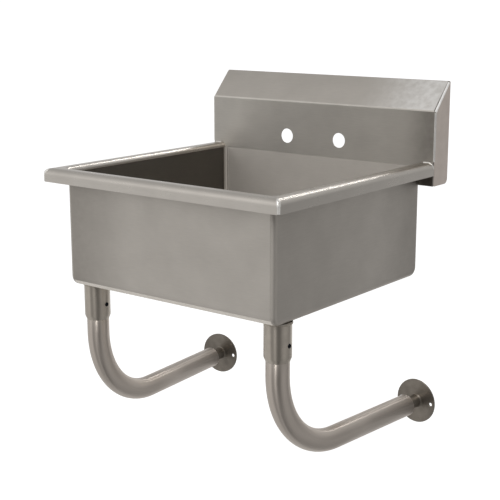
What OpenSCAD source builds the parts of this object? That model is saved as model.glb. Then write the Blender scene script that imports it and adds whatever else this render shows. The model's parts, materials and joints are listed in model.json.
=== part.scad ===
// Wall-hung mop service sink in stainless steel sheet: a coved bowl with rolled rims on three sides,
// a boxed backsplash that hooks over a wall bracket, and two J-shaped supports that turn in sockets
// under the bowl and end in flanged feet, which screw out to the wall.
// The origin is on the wall plane, midway across, on the line of the bracket's screws.
// X runs along the wall, Y points into the wall and Z points up.

/* [Sink] */
// Width over the rims
sink_w = 530; // [480:5:620]
// Depth from the wall to the front of the rim
sink_d = 535; // [480:5:620]
// Height from the top of the rim to the underside of the bowl
bowl_h = 218; // [180:2:300]
// Thickness of the sheet
sheet_t = 1.5; // [1.2:0.1:2]
// Outside radius of the wrap's bends along the floor
bend_r = 18; // [14:1:30]
// Outside radius of the side panels' coved edges
edge_r = 9; // [7:0.5:12]

/* [Rim] */
// Overhang of the rim beyond the bowl's walls
rim_over = 30; // [28:1:40]
// Height of the rim, from its top to the end of its lip
rim_h = 24; // [20:1:40]
// Radius of the rim's bend at the bowl
rim_bend_r = 9; // [6:0.5:14]
// Radius of the rim's roll at its outer edge
rim_roll_r = 12; // [8:0.5:15]
// Width of the hem turned in under the lip
hem_w = 6; // [4:0.5:10]

/* [Backsplash] */
// Depth of the backsplash box, from the wall to its face
splash_d = 52; // [46:1:75]
// Height of the upright face over the rim
face_h = 97; // [80:1:150]
// Height of the top edge at the wall over the rim
top_h = 152; // [144:1:200]
// Drop of the face and the end caps below the top of the rim
ear_drop = 44; // [36:1:70]
// Radius of the crease between the face and the slanted top
crease_r = 7; // [4:0.5:10]
// Radius of the bend at the wall
top_bend_r = 2.5; // [2.5:0.5:5]
// Height of the return that lies on the wall
return_h = 30; // [24:1:36]
// Radius of the end caps' lower back corner
cap_back_r = 10; // [5:1:15]
// Radius of the end caps' lower front corner
cap_front_r = 4; // [2:0.5:6]

/* [Faucet holes] */
// Distance between the two faucet holes
faucet_spacing = 125; // [100:1:210]
// Diameter of a faucet hole
faucet_hole_d = 29; // [22:0.5:35]
// Height of the faucet holes over the rim
faucet_z = 26; // [18:1:60]
// Place of the middle of the pair, from the middle of the sink to the right
faucet_x = -10; // [-60:1:60]

/* [Wall bracket] */
// Depth of the bracket's screws below the top edge of the backsplash
hang_drop = 46; // [44:1:52]
// Distance between the bracket's screws
bracket_spacing = 406; // [300:1:430]
// Length of the bracket beyond its screws, at each end
bracket_end = 22; // [12:1:24]
// Thickness of the bracket
bracket_t = 2; // [1.5:0.1:2.5]
// Radius of the bracket's screw holes
bracket_hole_r = 3.5; // [2.5:0.1:5]
// Height of the bracket's upper leg over its screws
bracket_lip = 32; // [26:1:36]
// Length of the bracket's foot below its screws
bracket_foot = 18; // [12:1:30]
// Height where the bracket starts to step away from the wall
bracket_knee = 8; // [7:0.5:12]

/* [Supports] */
// Diameter of the support tubes
tube_d = 38.1; // [32:0.1:42]
// Wall of the support tubes
tube_wall = 1.6; // [1.2:0.1:3]
// Distance of a leg's axis inside the side of the bowl
leg_side = 25; // [24:1:80]
// Distance of a leg's axis behind the front of the bowl
leg_inset = 43; // [42:1:70]
// Drop of the tubes' run to the wall below the rim
run_drop = 466; // [440:1:600]
// Radius of the tubes' bend, on their centreline
tube_bend_r = 152; // [90:1:155]
// Outward turn of the legs in their sockets, in degrees
splay = 5.1; // [0:0.1:6]
// Length of tube held in the socket
tube_grip = 50; // [35:1:52]

/* [Leg sockets] */
// Outside diameter of a socket
socket_d = 48; // [46:0.5:54]
// Length of a socket
socket_len = 67; // [60:1:90]
// Height of the necked mouth
neck_h = 8; // [4:0.5:12]
// Outside diameter at the mouth
neck_d = 41.6; // [41.4:0.1:44]
// Height of the set screw over the mouth
screw_rise = 30; // [20:1:36]
// Diameter of the set screw
screw_d = 8; // [6:0.5:10]
// Length of the set screw
screw_len = 6; // [5:0.5:12]
// Width of the set screw's hexagon socket, across its flats
screw_key = 4; // [3:0.5:5]
// Depth of the hexagon socket
screw_key_depth = 3; // [2:0.1:3.5]
// Chamfer at both ends of the set screw
screw_chamfer = 0.8; // [0.3:0.1:1]
// Side of the socket plate
plate_w = 48; // [48:1:50]
// Thickness of the socket plate
plate_t = 2; // [1.5:0.1:4]
// Radius of the socket plate's corners
plate_corner_r = 21; // [2:0.5:23]

/* [Flanged feet] */
// Distance of the feet from the wall as they are drawn, to be taken up by screwing them out
foot_back = 56; // [30:1:60]
// Diameter of a flange
flange_d = 86; // [80:1:110]
// Thickness of a flange
flange_t = 3; // [2:0.1:5]
// Distance between a flange's two screw holes
flange_spacing = 68; // [62:1:74]
// Radius of a flange's screw holes
flange_hole_r = 3.5; // [2.5:0.1:4]
// Diameter of a foot's stem
stem_d = 24; // [20:0.5:28]
// Length of stem that shows between the tube and the flange
stem_show = 34; // [20:1:40]
// Length of stem inside the tube
stem_grip = 82; // [75:1:90]
// Radius of the fillet between stem and flange
stem_fillet = 3; // [1:0.5:5]
// Length of the threaded insert in the end of the tube
insert_len = 20; // [12:1:25]

/* [Drain] */
// Diameter of the drain flange
drain_flange_d = 114; // [108:1:120]
// Diameter of the hole in the floor
drain_hole_d = 89; // [88:0.5:92]
// Diameter of the drain body's thread
drain_body_d = 86; // [84:0.5:87]
// Diameter of the drain outlet
outlet_d = 47; // [40:0.5:50]
// Bore of the drain outlet
outlet_bore_d = 38; // [30:0.5:40]
// Depth of the drain body below its flange
drain_depth = 52; // [50:1:70]
// Wall of the drain body along its thread
drain_wall = 4.5; // [3:0.1:5]
// Depth of the seat that the basket hangs on
seat_depth = 4; // [3:0.5:5]
// Depth where the drain's cone begins
cone_top = 24; // [24:0.5:26]
// Depth where the drain's cone ends
cone_low = 34; // [33:0.5:36]
// Depth of the end of the thread
thread_low = 28; // [26:0.5:30]
// Depth of the start of the outlet
outlet_top = 38; // [37:0.5:42]
// Depth of the recess in the floor
recess_depth = 3; // [2:0.1:4]
// Thickness of the drain flange
drain_flange_t = 1.5; // [1:0.1:2]
// Thickness of the rubber gasket
gasket_t = 2.5; // [2:0.1:4]
// Thickness of the friction ring
ring_t = 0.8; // [0.5:0.1:1.5]
// Height of the locknut
nut_h = 10; // [8:0.5:12]
// Lugs round the locknut
nut_lugs = 6; // [4:1:10]
// Width of a lug
lug_w = 13; // [8:1:20]
// How far the lugs stand out from the nut's hub
lug_rise = 4; // [2:0.5:5]

/* [Strainer] */
// Gap round the rim of the strainer basket in the drain body
basket_gap = 1; // [0.5:0.1:2]
// Depth of the strainer basket
basket_h = 17; // [14:0.5:18]
// Wall of the strainer basket
basket_wall = 1; // [0.8:0.1:1.5]
// Taper of the basket's wall, on the radius
basket_taper = 5.5; // [3:0.5:8]
// Diameter of the holes in the basket
strain_hole_d = 5; // [3:0.5:6]
// Rings of holes in the basket
strain_rings = 2; // [1:1:2]
// Holes in the basket's inner ring
strain_holes = 8; // [4:1:8]
// Diameter of the basket's post
post_d = 8; // [6:0.5:10]
// Diameter of the knob on the post
knob_d = 20; // [16:0.5:24]
// Height of the knob
knob_h = 5; // [4:0.5:6]
// Height of the knob's top over the recess in the floor
knob_rise = 3.5; // [3:0.5:5]
// Turned bevel of the knob
knob_bevel = 2; // [1:0.5:3]
// Thickness of the nut under the stopper
post_nut_t = 2.5; // [2:0.1:2.8]
// Thickness of the stopper's sealing cone
stopper_t = 7; // [5:0.5:7]

/* [Hidden] */
$fn = 64;
// Overrun of every cut
cut = 1;
// Gap between pieces that slide or turn on one another, on the radius
run_gap = 0.07;
// Gap between pieces that are seated close
seat_gap = 0.3;
// Growth of a backsplash bend's radius, so that it cuts the flats beside it
bend_blend = 0.01;
steel = "#a39c92";
dark_steel = "#8b857b";
brass = "#b59a62";
rubber = "#2b2a29";
paper = "#c9b68e";

// Height of the bracket's screws over the rim
hang_rise = top_h - hang_drop;

// Places are measured from the top of the rim in each sub-part, and this lowers them to the frame
module at_rim() {
    translate([0, 0, -hang_rise]) children();
}

// Bowl: half width outside and inside, front and back, outside and inside
bowl_ox = sink_w / 2 - rim_over;
bowl_ix = bowl_ox - sheet_t;
bowl_front = -(sink_d - rim_over);
bowl_front_in = bowl_front + sheet_t;
face_y = -splash_d;
bowl_back = face_y + sheet_t;
// The bowl's sheet ends where the rim's bend begins
bowl_top = -rim_bend_r;
bowl_floor = -bowl_h + sheet_t;
// Middle of the drain
drain_y = (bowl_front_in + face_y) / 2;
recess_floor = bowl_floor - recess_depth;
recess_r = drain_flange_d / 2 + 2 * seat_gap;
recess_slope_w = 2 * recess_depth;
// Rim: width of the flat between its bend and its roll, and the corner where the flats of two sides meet
rim_flat = rim_over + sheet_t - rim_bend_r - rim_roll_r;
mitre_x = bowl_ix + rim_bend_r;
mitre_y = bowl_front_in - rim_bend_r;
// Inside radius of the bowl's upright corners
cove_in_r = edge_r - sheet_t;
// Support geometry
tube_r = tube_d / 2;
socket_r = socket_d / 2;
leg_x = bowl_ox - leg_side;
leg_y = bowl_front + leg_inset;
plate_z = -bowl_h - plate_t;
mouth_z = plate_z - socket_len;
tube_top = mouth_z + tube_grip;
bend_top = -run_drop + tube_bend_r;
// Distance along the run from the leg's axis to the back of the flange, and to the end of the tube
run_len = (-leg_y - foot_back) / cos(splay);
tube_end = run_len - flange_t - stem_show;

// A quarter of a ring in the first quadrant
module quarter_ring(r, t) {
    intersection() {
        difference() {
            circle(r);
            circle(r - t);
        }
        square(r);
    }
}

// A profile drawn as (outward from the middle, up), run along Y between two places
module along_y(y0, y1) {
    translate([0, y1, 0]) rotate([90, 0, 0]) linear_extrude(y1 - y0) children();
}

// A profile drawn as (towards the front, up), run along X between two places
module along_x(x0, x1) {
    translate([x1, 0, 0]) rotate([90, 0, -90]) linear_extrude(x1 - x0) children();
}

module mirror_left() {
    mirror([1, 0, 0]) children();
}

// Bowl

module wrap_profile() {
    u_front = -bowl_front;
    u_back = -bowl_back;
    low = -bowl_h + bend_r;
    translate([u_front - sheet_t, low]) square([sheet_t, bowl_top - low]);
    translate([u_back, low]) square([sheet_t, bowl_top - low]);
    translate([u_back + bend_r, -bowl_h]) square([u_front - u_back - 2 * bend_r, sheet_t]);
    translate([u_front - bend_r, low]) mirror([0, 1]) quarter_ring(bend_r, sheet_t);
    translate([u_back + bend_r, low]) rotate(180) quarter_ring(bend_r, sheet_t);
}

// Stamped recess that the drain flange lies in
module floor_recess() {
    hole_r = drain_hole_d / 2;
    rotate_extrude() {
        polygon([
            [hole_r, recess_floor - sheet_t],
            [recess_r, recess_floor - sheet_t],
            [recess_r + recess_slope_w, bowl_floor - sheet_t],
            [recess_r + recess_slope_w, bowl_floor],
            [recess_r, recess_floor],
            [hole_r, recess_floor]
        ]);
    }
}

module bowl_wrap() {
    half = bowl_ox - edge_r;
    color(steel) at_rim() {
        difference() {
            along_x(-half, half) wrap_profile();
            translate([0, drain_y, -bowl_h - cut])
                cylinder(r = recess_r + recess_slope_w, h = sheet_t + 2 * cut);
        }
        translate([0, drain_y, 0]) floor_recess();
    }
}

// Edge of a side panel carried round the wrap's floor bend, on the front or the back
module side_corner(centre_y, start) {
    core_r = bend_r - edge_r;
    translate([bowl_ox - edge_r, centre_y, -bowl_h + bend_r])
        rotate([start, 0, 0])
            rotate([0, 90, 0])
                rotate_extrude(angle = 90) {
                    translate([core_r, 0]) quarter_ring(edge_r, sheet_t);
                    translate([0, edge_r - sheet_t]) square([core_r, sheet_t]);
                }
}

module bowl_side() {
    half = bowl_ox - edge_r;
    low = -bowl_h + bend_r;
    front = bowl_front + bend_r;
    back = bowl_back - bend_r;
    core = bend_r - edge_r;
    // Flat plate with its lower corners left to the bends
    translate([bowl_ox - sheet_t, bowl_front + edge_r, low])
        cube([sheet_t, bowl_back - bowl_front - 2 * edge_r, bowl_top - low]);
    translate([bowl_ox - sheet_t, front, low - core]) cube([sheet_t, back - front, core]);
    // Coved upright edges
    translate([half, bowl_front + edge_r, low]) mirror([0, 1, 0])
        linear_extrude(bowl_top - low) quarter_ring(edge_r, sheet_t);
    translate([half, bowl_back - edge_r, low]) linear_extrude(bowl_top - low) quarter_ring(edge_r, sheet_t);
    // Coved floor edge
    translate([half, 0, -bowl_h + edge_r]) along_y(front, back) mirror([0, 1]) quarter_ring(edge_r, sheet_t);
    side_corner(front, -90);
    side_corner(back, 0);
}

module bowl_side_right() {
    color(dark_steel) at_rim() bowl_side();
}

module bowl_side_left() {
    color(dark_steel) at_rim() mirror_left() bowl_side();
}

// Rims, drawn as (outward from the inside of the bowl's wall, up)

module rim_bend_profile() {
    translate([rim_bend_r, -rim_bend_r]) mirror([1, 0]) quarter_ring(rim_bend_r, sheet_t);
}

module rim_roll_profile() {
    outer = rim_over + sheet_t;
    translate([rim_bend_r, -sheet_t]) square([rim_flat, sheet_t]);
    translate([outer - rim_roll_r, -rim_roll_r]) quarter_ring(rim_roll_r, sheet_t);
    translate([outer - sheet_t, -rim_h]) square([sheet_t, rim_h - rim_roll_r]);
    translate([outer - hem_w, -rim_h]) square([hem_w, sheet_t]);
}

module rim_profile() {
    rim_bend_profile();
    rim_roll_profile();
}

// The corner of the opening: the bend carried round the cove, and the flat between it and the mitre
module rim_corner() {
    reach = cove_in_r + rim_bend_r;
    translate([bowl_ix - cove_in_r, bowl_front_in + cove_in_r, 0]) {
        rotate([0, 0, -90]) rotate_extrude(angle = 90) translate([cove_in_r, 0]) rim_bend_profile();
        translate([0, 0, -sheet_t]) linear_extrude(sheet_t) difference() {
            mirror([0, 1]) square(reach);
            circle(reach);
        }
    }
}

module rim_front() {
    reach = sink_w / 2 - mitre_x + cut;
    straight = bowl_ix - cove_in_r;
    color(steel) at_rim() {
        translate([0, bowl_front_in, 0]) along_x(-straight, straight) rim_profile();
        rim_corner();
        mirror_left() rim_corner();
        intersection() {
            translate([0, bowl_front_in, 0]) along_x(-sink_w / 2, sink_w / 2) rim_roll_profile();
            translate([0, 0, -rim_h - cut]) linear_extrude(rim_h + 2 * cut) polygon([
                [-mitre_x, mitre_y],
                [mitre_x, mitre_y],
                [mitre_x + reach, mitre_y - reach],
                [-mitre_x - reach, mitre_y - reach]
            ]);
        }
    }
}

module rim_side() {
    reach = sink_w / 2 - mitre_x + cut;
    translate([bowl_ix, 0, 0]) along_y(bowl_front_in + cove_in_r, face_y) rim_profile();
    intersection() {
        translate([bowl_ix, 0, 0]) along_y(-sink_d, face_y) rim_roll_profile();
        translate([0, 0, -rim_h - cut]) linear_extrude(rim_h + 2 * cut) polygon([
            [mitre_x, mitre_y],
            [mitre_x, face_y],
            [mitre_x + reach, face_y],
            [mitre_x + reach, mitre_y - reach]
        ]);
    }
}

module rim_right() {
    color(dark_steel) at_rim() rim_side();
}

module rim_left() {
    color(dark_steel) at_rim() mirror_left() rim_side();
}

// Backsplash, drawn as (out from the wall, up)

function unit(v) = v / norm(v);
function half_angle(p, a, b) = acos(unit(a - p) * unit(b - p)) / 2;

// Where a bend at corner p, between the sides to a and to b, has its centre and starts
function bend_centre(p, a, b, r) =
    p + unit(unit(a - p) + unit(b - p)) * r / sin(half_angle(p, a, b));
function bend_start(p, a, b, r) = p + unit(a - p) * r / tan(half_angle(p, a, b));

// Everything outside a bend of a radius at corner p
module bend_waste(p, a, b, r) {
    centre = bend_centre(p, a, b, r);
    reach = norm(p - centre) + cut;
    difference() {
        polygon([
            centre,
            centre + unit(bend_start(p, a, b, r) - centre) * reach,
            centre + unit(p - centre) * reach * 2,
            centre + unit(bend_start(p, b, a, r) - centre) * reach
        ]);
        translate(centre) circle(r + bend_blend);
    }
}

// The box's corners in section: behind at the bottom and top, the crease, and the toe
foot = [0, -ear_drop];
top = [0, top_h];
crease = [splash_d, face_h];
toe = [splash_d, -ear_drop];

// A corner moved inwards by a distance
function moved_in(p, a, b, inset) =
    p + unit(unit(a - p) + unit(b - p)) * inset / sin(half_angle(p, a, b));

// The box's section inside its back, slanted top and face, at a depth in the sheet
module splash_region(inset, low) {
    foot_in = [inset, low];
    top_in = moved_in(top, foot, crease, inset);
    crease_in = moved_in(crease, top, toe, inset);
    toe_in = [splash_d - inset, low];
    difference() {
        polygon([foot_in, top_in, crease_in, toe_in]);
        bend_waste(top_in, foot_in, crease_in, top_bend_r - inset);
        bend_waste(crease_in, top_in, toe_in, crease_r - inset);
    }
}

module splash_profile() {
    return_low = top_h - return_h;
    difference() {
        splash_region(0, -ear_drop);
        splash_region(sheet_t, -ear_drop - cut);
        translate([-cut, -ear_drop - cut]) square([sheet_t + 2 * cut, return_low + ear_drop + cut]);
    }
}

module splash_panel() {
    // The ears beside the bowl clear the coved back corners of its side panels
    cove_x = bowl_ox - edge_r + sqrt(pow(edge_r, 2) - pow(edge_r - sheet_t, 2)) + seat_gap;
    color(steel) at_rim() difference() {
        along_x(sheet_t - sink_w / 2, sink_w / 2 - sheet_t) splash_profile();
        translate([-cove_x, face_y - cut, -ear_drop - cut])
            cube([2 * cove_x, sheet_t + 2 * cut, bowl_top + ear_drop + cut]);
        for (side = [-1, 1])
            translate([faucet_x + side * faucet_spacing / 2, face_y + sheet_t + cut, faucet_z])
                rotate([90, 0, 0]) cylinder(d = faucet_hole_d, h = sheet_t + 2 * cut);
    }
}

// The box's outline with its lower corners rounded
module cap_profile() {
    difference() {
        splash_region(0, -ear_drop);
        bend_waste(foot, toe, top, cap_back_r);
        bend_waste(toe, crease, foot, cap_front_r);
    }
}

module splash_end_right() {
    color(dark_steel) at_rim() along_x(sink_w / 2 - sheet_t, sink_w / 2) cap_profile();
}

module splash_end_left() {
    color(dark_steel) at_rim() along_x(-sink_w / 2, sheet_t - sink_w / 2) cap_profile();
}

// Z-shaped bar screwed to the wall: the backsplash's return drops behind its upper leg
module wall_bracket() {
    // The upper leg stands away from the wall by the bracket's own thickness
    step_out = bracket_t + bracket_t;
    half = bracket_spacing / 2 + bracket_end;
    knee_top = bracket_knee + bracket_t;
    color(dark_steel) difference() {
        along_x(-half, half) polygon([
            [0, -bracket_foot],
            [bracket_t, -bracket_foot],
            [bracket_t, bracket_knee],
            [step_out, knee_top],
            [step_out, bracket_lip],
            [bracket_t, bracket_lip],
            [bracket_t, knee_top + bracket_t],
            [0, knee_top]
        ]);
        for (side = [-1, 1])
            translate([side * bracket_spacing / 2, cut, 0])
                rotate([90, 0, 0]) cylinder(r = bracket_hole_r, h = bracket_t + 2 * cut);
    }
}

// Leg sockets

module socket_plate() {
    inner = plate_w / 2 - plate_corner_r;
    translate([leg_x, leg_y, plate_z]) linear_extrude(plate_t) {
        square([plate_w, 2 * inner], center = true);
        square([2 * inner, plate_w], center = true);
        for (sx = [-1, 1], sy = [-1, 1]) translate([sx * inner, sy * inner]) circle(plate_corner_r);
    }
}

module socket_plate_right() {
    color(dark_steel) at_rim() socket_plate();
}

module socket_plate_left() {
    color(dark_steel) at_rim() mirror_left() socket_plate();
}

// Turned sleeve, necked at its mouth, with a threaded hole towards +X
module leg_socket(side) {
    color(steel) at_rim() translate([side * leg_x, leg_y, mouth_z]) difference() {
        union() {
            translate([0, 0, neck_h]) cylinder(d = socket_d, h = socket_len - neck_h);
            cylinder(d1 = neck_d, d2 = socket_d, h = neck_h);
        }
        translate([0, 0, -cut]) cylinder(r = tube_r + run_gap, h = socket_len + 2 * cut);
        translate([0, 0, screw_rise]) rotate([0, 90, 0])
            cylinder(r = screw_d / 2 + run_gap, h = socket_r + cut);
    }
}

module leg_socket_left() {
    leg_socket(-1);
}

module leg_socket_right() {
    leg_socket(1);
}

// Cup-point screw with a hexagon socket, a little short of the tube
module set_screw(side) {
    end_d = screw_d - 2 * screw_chamfer;
    body_len = screw_len - 2 * screw_chamfer;
    color(dark_steel) at_rim()
        translate([side * leg_x + tube_r + seat_gap, leg_y, mouth_z + screw_rise])
            rotate([0, 90, 0]) difference() {
                union() {
                    cylinder(d1 = end_d, d2 = screw_d, h = screw_chamfer);
                    translate([0, 0, screw_chamfer]) cylinder(d = screw_d, h = body_len);
                    translate([0, 0, screw_len - screw_chamfer])
                        cylinder(d1 = screw_d, d2 = end_d, h = screw_chamfer);
                }
                translate([0, 0, screw_len - screw_key_depth])
                    cylinder(d = screw_key / cos(30), h = screw_key_depth + cut, $fn = 6);
            }
}

module set_screw_left() {
    set_screw(-1);
}

module set_screw_right() {
    set_screw(1);
}

// Supports

module tube_section() {
    difference() {
        circle(tube_r);
        circle(tube_r - tube_wall);
    }
}

// Places are measured from the leg's axis, with Y along the run, in each part of a right support
module at_leg() {
    at_rim() translate([leg_x, leg_y, 0]) rotate([0, 0, -splay]) children();
}

// A shape drawn upwards, laid along the run at a distance from the leg's axis
module along_run(distance) {
    translate([0, distance, -run_drop]) rotate([-90, 0, 0]) children();
}

// J-shaped tube: an upright leg, a quarter bend and a run to the wall
module support_tube() {
    at_leg() {
        translate([0, 0, bend_top]) linear_extrude(tube_top - bend_top) tube_section();
        translate([0, tube_bend_r, bend_top]) rotate([0, 90, 0]) rotate([0, 0, -90])
            rotate_extrude(angle = 90) translate([tube_bend_r, 0]) tube_section();
        along_run(tube_bend_r) linear_extrude(tube_end - tube_bend_r) tube_section();
    }
}

module support_tube_right() {
    color(steel) support_tube();
}

module support_tube_left() {
    color(steel) mirror_left() support_tube();
}

// Threaded plug pressed into the end of the tube, with a lip over the tube's end
module foot_insert() {
    lip_t = tube_wall;
    at_leg() along_run(tube_end - insert_len) difference() {
        union() {
            cylinder(r = tube_r - tube_wall - run_gap, h = insert_len + lip_t);
            translate([0, 0, insert_len + seat_gap])
                cylinder(r1 = tube_r, r2 = tube_r - tube_wall, h = lip_t - seat_gap);
        }
        translate([0, 0, -cut]) cylinder(r = stem_d / 2 + run_gap, h = insert_len + lip_t + 2 * cut);
    }
}

module foot_insert_right() {
    color(dark_steel) foot_insert();
}

module foot_insert_left() {
    color(dark_steel) mirror_left() foot_insert();
}

// Foot: a round flange turned in one piece with its stem
module wall_foot() {
    stem_r = stem_d / 2;
    neck = stem_show + stem_grip;
    at_leg() along_run(run_len - flange_t - neck) difference() {
        union() {
            cylinder(r = stem_r, h = neck + flange_t);
            translate([0, 0, neck]) cylinder(d = flange_d, h = flange_t);
            translate([0, 0, neck - stem_fillet]) rotate_extrude() difference() {
                translate([stem_r - cut, 0]) square([stem_fillet + cut, stem_fillet]);
                translate([stem_r + stem_fillet, 0]) circle(stem_fillet);
            }
        }
        for (side = [-1, 1]) translate([side * flange_spacing / 2, 0, neck - cut])
            cylinder(r = flange_hole_r, h = flange_t + 2 * cut);
    }
}

module wall_foot_right() {
    color(dark_steel) wall_foot();
}

module wall_foot_left() {
    color(dark_steel) mirror_left() wall_foot();
}

// Drain, measured from the top of the recess in the floor

seat_r = drain_body_d / 2 - drain_wall;
throat_r = drain_body_d / 2 - sheet_t;

module at_drain() {
    at_rim() translate([0, drain_y, recess_floor]) children();
}

module drain_body() {
    color(brass) at_drain() rotate_extrude() polygon([
        [throat_r, drain_flange_t],
        [drain_flange_d / 2, drain_flange_t],
        [drain_flange_d / 2, 0],
        [drain_body_d / 2, 0],
        [drain_body_d / 2, -thread_low],
        [outlet_d / 2, -outlet_top],
        [outlet_d / 2, -drain_depth],
        [outlet_bore_d / 2, -drain_depth],
        [outlet_bore_d / 2, -cone_low],
        [seat_r, -cone_top],
        [seat_r, -seat_depth],
        [throat_r, -seat_depth]
    ]);
}

// A flat washer under the floor
module washer(depth, t) {
    translate([0, 0, -depth - t]) linear_extrude(t) difference() {
        circle(recess_r - seat_gap);
        circle(drain_body_d / 2 + seat_gap);
    }
}

module drain_gasket() {
    color(rubber) at_drain() washer(sheet_t, gasket_t);
}

module drain_friction_ring() {
    color(paper) at_drain() washer(sheet_t + gasket_t, ring_t);
}

// Locknut: a ring under the floor over a hub with lugs for a spanner
module drain_locknut() {
    nut_r = recess_r - 2 * sheet_t;
    bore_r = drain_body_d / 2 + run_gap;
    color(brass) at_drain() translate([0, 0, -sheet_t - gasket_t - ring_t - nut_h]) {
        linear_extrude(nut_h / 2) difference() {
            union() {
                circle(nut_r - lug_rise);
                for (k = [0 : nut_lugs - 1]) rotate(k * 360 / nut_lugs)
                    translate([0, -lug_w / 2]) square([nut_r, lug_w]);
            }
            circle(bore_r);
        }
        translate([0, 0, nut_h / 2]) linear_extrude(nut_h / 2) difference() {
            circle(recess_r - seat_gap);
            circle(bore_r);
        }
    }
}

// Strainer basket: hangs by its rim on the seat of the drain body

basket_rim_r = throat_r - basket_gap;
basket_top_r = seat_r - 2 * seat_gap;
basket_low_r = basket_top_r - basket_taper;
basket_rim_low = -seat_depth;
basket_bottom = basket_rim_low - basket_h;
// Depth of the stopper's underside, part way down the drain's cone
stopper_low = cone_top + stopper_t;

module strainer_basket() {
    ring_step = (basket_low_r - post_d) / (strain_rings + 1);
    color(steel) at_drain() difference() {
        rotate_extrude() polygon([
            [post_d / 2 + run_gap, basket_bottom],
            [basket_low_r, basket_bottom],
            [basket_top_r, basket_rim_low],
            [basket_rim_r, basket_rim_low],
            [basket_rim_r, basket_rim_low + basket_wall],
            [basket_top_r - basket_wall, basket_rim_low + basket_wall],
            [basket_low_r - basket_wall, basket_bottom + basket_wall],
            [post_d / 2 + run_gap, basket_bottom + basket_wall]
        ]);
        for (ring = [1 : strain_rings], k = [0 : strain_holes * ring - 1])
            rotate([0, 0, k * 360 / (strain_holes * ring)])
                translate([post_d / 2 + ring * ring_step, 0, basket_bottom - cut])
                    cylinder(d = strain_hole_d, h = basket_wall + 2 * cut, $fn = 24);
    }
}

// Rubber disc that closes the drain's cone
module strainer_stopper() {
    // Radius lost by the drain's cone for each millimetre of depth
    slope = (seat_r - outlet_bore_d / 2) / (cone_low - cone_top);
    middle = (stopper_low + cone_top) / 2;
    high = -basket_bottom + seat_gap;
    low_r = seat_r - (stopper_low - cone_top) * slope - 2 * seat_gap;
    wide_r = low_r + (stopper_low - middle) * slope;
    color(rubber) at_drain() rotate_extrude() polygon([
        [post_d / 2 + run_gap, -stopper_low],
        [low_r, -stopper_low],
        [wide_r, -middle],
        [wide_r, -high],
        [post_d / 2 + run_gap, -high]
    ]);
}

// Post with a turned knob, nutted under the stopper
module strainer_post() {
    nut_r = post_d;
    color(dark_steel) at_drain() rotate_extrude() polygon([
        [0, -stopper_low - post_nut_t],
        [nut_r, -stopper_low - post_nut_t],
        [nut_r, -stopper_low],
        [post_d / 2, -stopper_low],
        [post_d / 2, knob_rise - knob_h],
        [knob_d / 2 - knob_bevel, knob_rise - knob_h],
        [knob_d / 2, knob_rise - knob_h / 2],
        [knob_d / 2 - knob_bevel, knob_rise],
        [0, knob_rise]
    ]);
}

bowl_wrap();
bowl_side_left();
bowl_side_right();
rim_front();
rim_left();
rim_right();
splash_panel();
splash_end_left();
splash_end_right();
wall_bracket();
socket_plate_left();
socket_plate_right();
leg_socket_left();
leg_socket_right();
set_screw_left();
set_screw_right();
support_tube_left();
support_tube_right();
foot_insert_left();
foot_insert_right();
wall_foot_left();
wall_foot_right();
drain_body();
drain_gasket();
drain_friction_ring();
drain_locknut();
strainer_basket();
strainer_stopper();
strainer_post();
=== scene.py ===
"""Finish of a wall-hung mop service sink: brushed sheet with eased edges, dressed welds, bent support
tubes with turned feet, and a nickel-plated drain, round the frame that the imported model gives.

Run as a script, it makes every piece in order. The panel in the 3D view's sidebar lists the same steps.
Lengths are in metres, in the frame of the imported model: the origin is on the wall plane, midway across,
on the line of the bracket's screws, with Y into the wall and Z up."""

import json
import math
from contextlib import contextmanager

import bmesh
import bpy
from bpy.props import FloatProperty, FloatVectorProperty, IntProperty, PointerProperty, StringProperty
from mathutils import Matrix, Vector

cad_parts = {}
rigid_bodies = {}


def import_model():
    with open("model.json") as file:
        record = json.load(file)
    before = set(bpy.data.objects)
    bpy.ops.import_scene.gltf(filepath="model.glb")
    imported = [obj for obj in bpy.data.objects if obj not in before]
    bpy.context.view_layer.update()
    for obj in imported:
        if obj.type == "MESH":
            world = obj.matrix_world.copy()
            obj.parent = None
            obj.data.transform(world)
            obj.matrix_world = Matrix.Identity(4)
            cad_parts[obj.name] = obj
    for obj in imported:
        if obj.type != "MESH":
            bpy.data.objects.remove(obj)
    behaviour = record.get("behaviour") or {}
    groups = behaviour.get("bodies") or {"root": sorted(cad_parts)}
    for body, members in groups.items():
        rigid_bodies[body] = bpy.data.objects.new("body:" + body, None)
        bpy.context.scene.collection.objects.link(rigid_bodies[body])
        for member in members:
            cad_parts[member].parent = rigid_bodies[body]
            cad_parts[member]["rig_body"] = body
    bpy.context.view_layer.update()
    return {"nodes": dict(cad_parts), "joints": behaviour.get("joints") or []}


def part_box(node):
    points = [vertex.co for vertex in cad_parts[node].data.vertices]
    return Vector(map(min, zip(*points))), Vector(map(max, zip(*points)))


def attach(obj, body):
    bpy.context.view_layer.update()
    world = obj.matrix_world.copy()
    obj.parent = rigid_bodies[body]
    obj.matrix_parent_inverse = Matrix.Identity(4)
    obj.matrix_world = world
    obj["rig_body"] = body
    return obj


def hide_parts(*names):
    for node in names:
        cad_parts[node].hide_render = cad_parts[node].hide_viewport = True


bl_info = {
    "name": "Mop service sink",
    "version": (1, 0, 0),
    "blender": (4, 5, 0),
    "location": "3D View > Sidebar > Sink",
    "description": "Dresses the packed frame of a wall-hung mop service sink",
    "category": "Add Mesh",
}

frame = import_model()

MM = 0.001
UP = Vector((0.0, 0.0, 1.0))
SIDES = {"left": -1, "right": 1}


def width(name, description, default, least, most):
    """A size that a user may change, given in millimetres."""
    return FloatProperty(name=name, description=description, default=default * MM, min=least * MM,
                         max=most * MM, precision=5, unit="LENGTH")


def hex_colour(name, description, default):
    """A colour that a user may change."""
    return StringProperty(name=name, description=description, default=default)


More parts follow.
